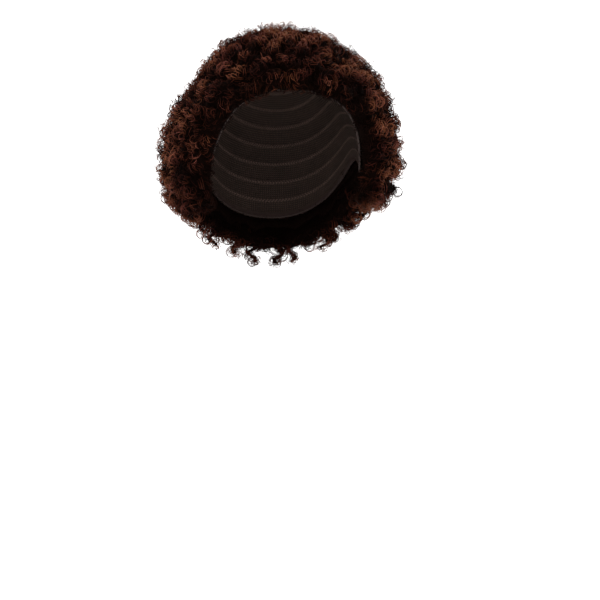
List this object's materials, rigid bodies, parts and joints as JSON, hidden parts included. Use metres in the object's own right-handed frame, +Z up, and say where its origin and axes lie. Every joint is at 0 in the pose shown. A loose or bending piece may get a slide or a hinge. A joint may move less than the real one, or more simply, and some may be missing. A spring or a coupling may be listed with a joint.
{
  "type": "afro wig",
  "caption": "Short round afro wig: dense tight auburn curls in rings round a close stretch cap, open over the face and neck, with small ringlets hanging at the nape.",
  "frame": {"origin": "the point inside the crown of the cap that rests on top of the head", "axes": "+Z up, the face looks along -Y, and +X is the wearer's left"},
  "size_m": [0.236, 0.2296, 0.2335],
  "materials": {
    "cap_net": "matt dark brown stretch net with an elastic edge",
    "auburn_hair": "glossy dark auburn synthetic hair fibre in tight curls"
  },
  "bodies": {
    "root": {"cap": "cap_net", "crown_whorl": "auburn_hair", "weft_01": "auburn_hair", "weft_02": "auburn_hair", "weft_03": "auburn_hair", "weft_04": "auburn_hair", "weft_05": "auburn_hair", "weft_06": "auburn_hair", "weft_07": "auburn_hair", "weft_08": "auburn_hair", "weft_09": "auburn_hair", "weft_10": "auburn_hair"}
  },
  "joints": []
}
